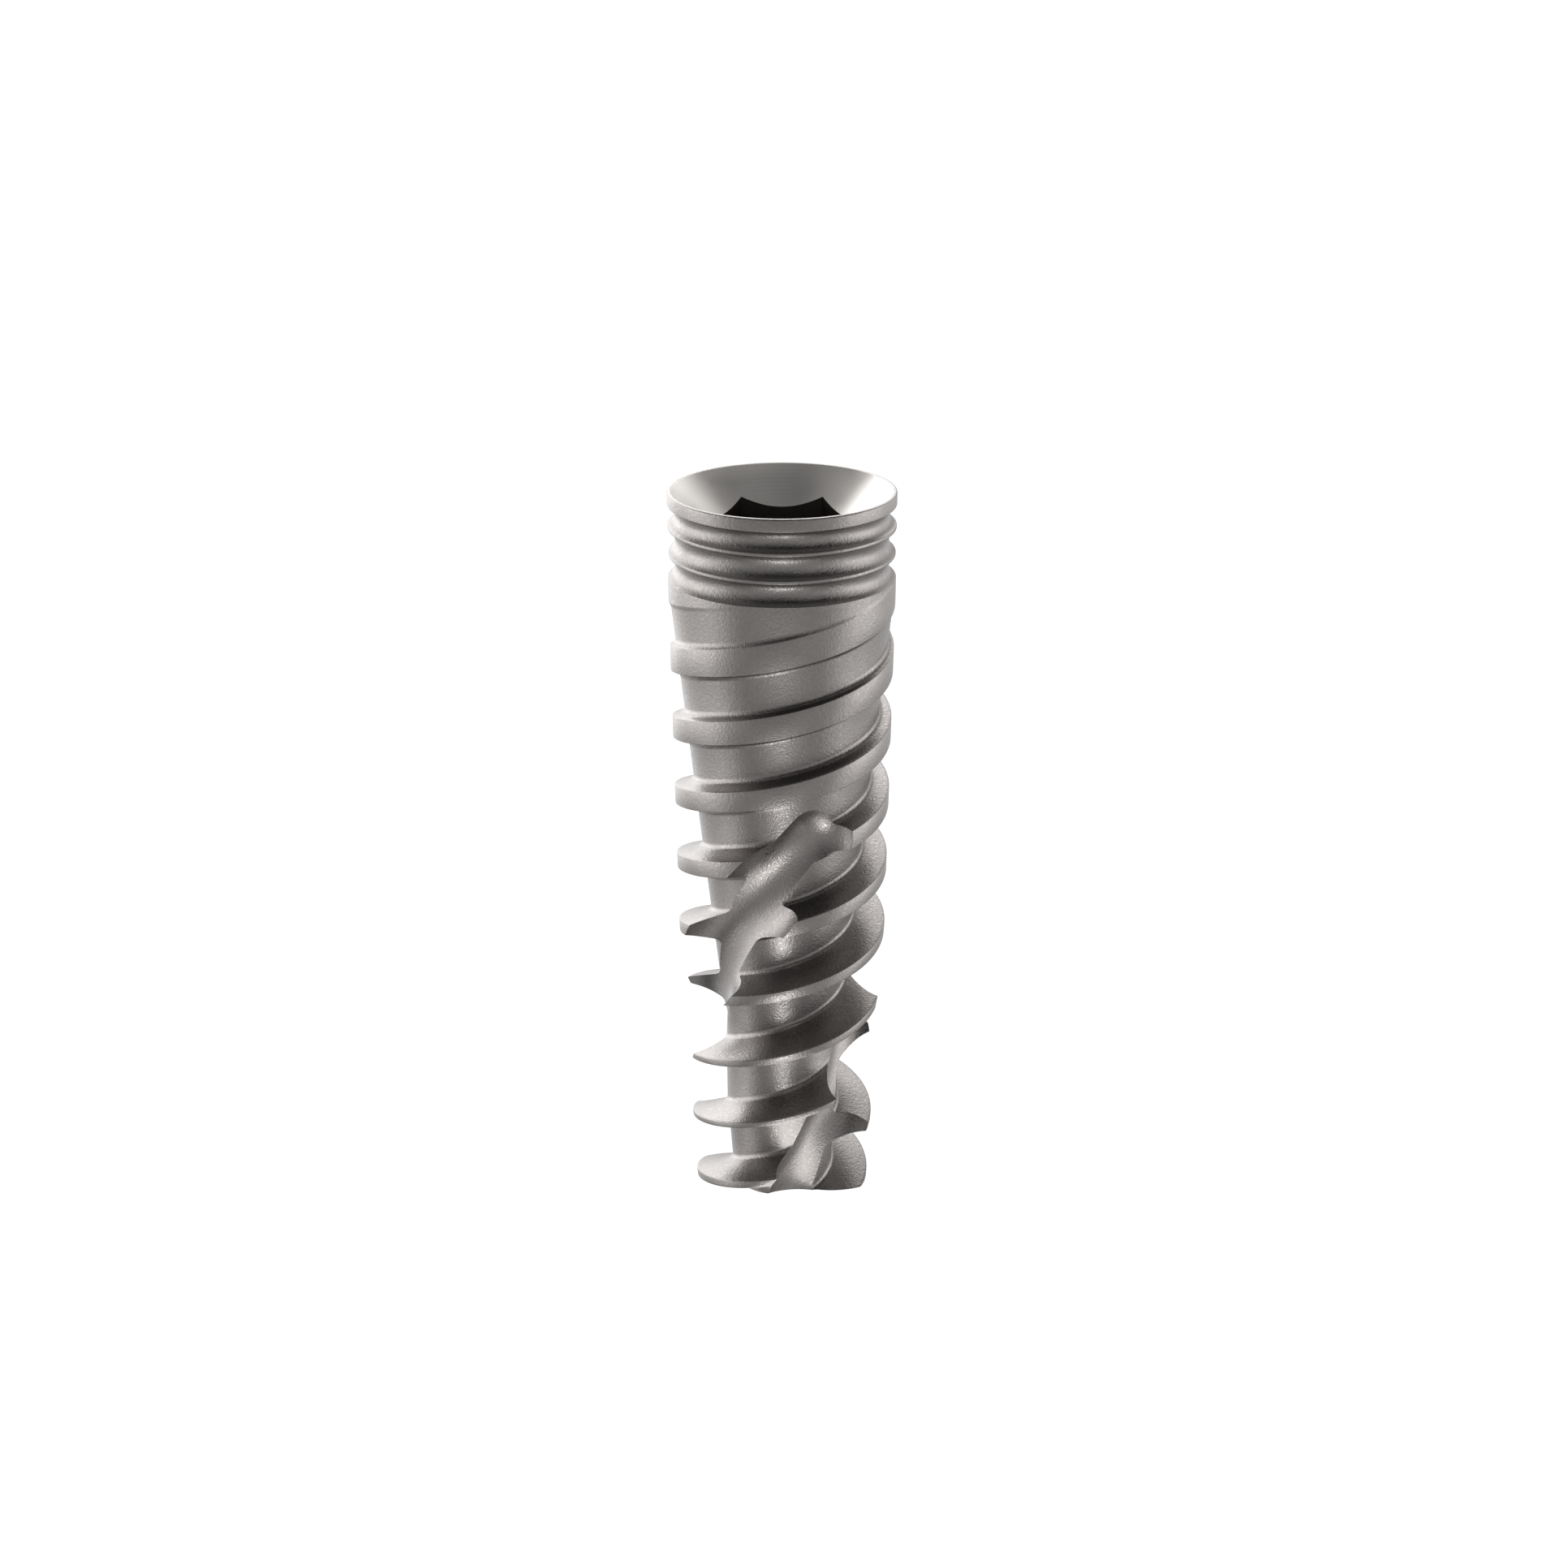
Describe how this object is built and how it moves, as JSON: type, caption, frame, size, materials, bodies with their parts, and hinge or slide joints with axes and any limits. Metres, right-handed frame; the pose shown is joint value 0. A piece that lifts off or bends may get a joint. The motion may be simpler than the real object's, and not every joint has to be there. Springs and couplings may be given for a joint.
{
  "type": "dental implant",
  "caption": "Tapered screw-shaped titanium tooth root with a deep bone thread, cutting flutes, a grooved collar and a hexagonal socket that takes the abutment.",
  "frame": {"origin": "centre of the flat apex, at the foot of the implant", "axes": "+Z along the implant's axis towards the socket; two corners of the hexagon lie on X"},
  "size_m": [0.0038, 0.0038, 0.0128],
  "materials": {
    "titanium": "titanium alloy, machined from bar, grit-blasted and acid-etched outside, left as turned on the bevel and in the socket"
  },
  "bodies": {
    "root": {"implant_body": "titanium"}
  },
  "joints": []
}
